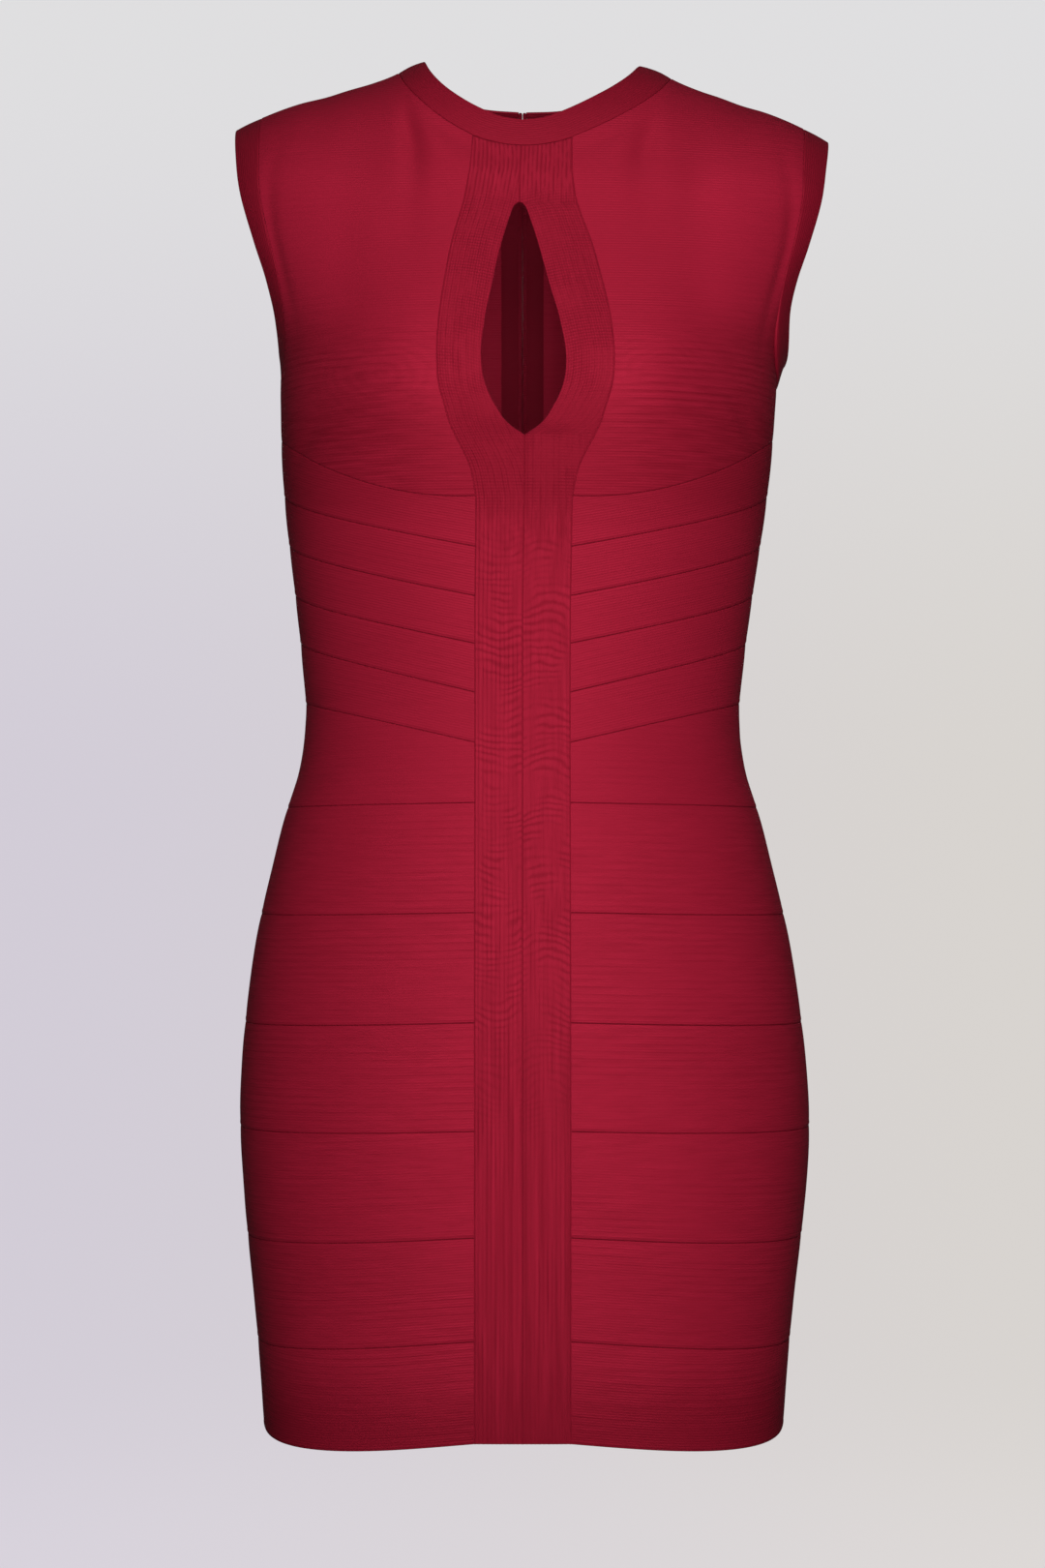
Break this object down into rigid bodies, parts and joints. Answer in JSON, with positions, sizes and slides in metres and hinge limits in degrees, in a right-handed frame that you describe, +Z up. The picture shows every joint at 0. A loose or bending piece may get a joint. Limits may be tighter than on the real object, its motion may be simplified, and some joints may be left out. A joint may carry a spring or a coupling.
{
  "type": "bodycon dress",
  "caption": "Sleeveless mini bodycon dress of sewn horizontal knit bands, with a teardrop keyhole between ribbed centre strips, a close round neckband and a back zip.",
  "frame": {"origin": "the wearer's shoulders: midway between them, on the line through the middle of both shoulder slopes, where the dress is held up", "axes": "+Z up along the body, -Y to the front, +X to the wearer's left"},
  "size_m": [0.3486, 0.2238, 0.7998],
  "materials": {
    "band_knit": "close crimson knit with fine ribs along each band, low sheen",
    "ribbed_knit": "crimson knit with upright ribs, matt",
    "trim_knit": "smooth darker crimson knit trim, slight satin sheen",
    "zip_tape": "woven zip tape dyed to match",
    "zip_enamel": "enamelled zip slider and pull dyed to match"
  },
  "bodies": {
    "dress": {"armhole_band_left": "trim_knit", "armhole_band_right": "trim_knit", "back_midriff_band_1_left": "band_knit", "back_midriff_band_1_right": "band_knit", "back_midriff_band_2_left": "band_knit", "back_midriff_band_2_right": "band_knit", "back_midriff_band_3_left": "band_knit", "back_midriff_band_3_right": "band_knit", "back_midriff_band_4_left": "band_knit", "back_midriff_band_4_right": "band_knit", "back_midriff_band_5_left": "band_knit", "back_midriff_band_5_right": "band_knit", "back_skirt_band_1_left": "band_knit", "back_skirt_band_1_right": "band_knit", "back_skirt_band_2_left": "band_knit", "back_skirt_band_2_right": "band_knit", "back_skirt_band_3_left": "band_knit", "back_skirt_band_3_right": "band_knit", "back_skirt_band_4": "band_knit", "back_skirt_band_5": "band_knit", "back_skirt_band_6": "band_knit", "back_skirt_band_7": "band_knit", "back_yoke_left": "band_knit", "back_yoke_right": "band_knit", "bust_panel_left": "band_knit", "bust_panel_right": "band_knit", "centre_strip_left": "ribbed_knit", "centre_strip_right": "ribbed_knit", "front_midriff_band_1_left": "band_knit", "front_midriff_band_1_right": "band_knit", "front_midriff_band_2_left": "band_knit", "front_midriff_band_2_right": "band_knit", "front_midriff_band_3_left": "band_knit", "front_midriff_band_3_right": "band_knit", "front_midriff_band_4_left": "band_knit", "front_midriff_band_4_right": "band_knit", "front_midriff_band_5_left": "band_knit", "front_midriff_band_5_right": "band_knit", "front_skirt_band_1_left": "band_knit", "front_skirt_band_1_right": "band_knit", "front_skirt_band_2_left": "band_knit", "front_skirt_band_2_right": "band_knit", "front_skirt_band_3_left": "band_knit", "front_skirt_band_3_right": "band_knit", "front_skirt_band_4_left": "band_knit", "front_skirt_band_4_right": "band_knit", "front_skirt_band_5_left": "band_knit", "front_skirt_band_5_right": "band_knit", "front_skirt_band_6_left": "band_knit", "front_skirt_band_6_right": "band_knit", "front_skirt_band_7_left": "band_knit", "front_skirt_band_7_right": "band_knit", "neckband": "trim_knit", "zip_slider": "zip_enamel", "zip_tape_left": "zip_tape", "zip_tape_right": "zip_tape"},
    "pull": {"zip_pull": "zip_enamel"}
  },
  "joints": [
    {"name": "zip_pull_hinge", "type": "hinge", "parent": "dress", "child": "pull", "pos_m": [0, 0.05672, 0.00101], "axis": [1, 0, 0], "range_deg": [0, 150]}
  ]
}
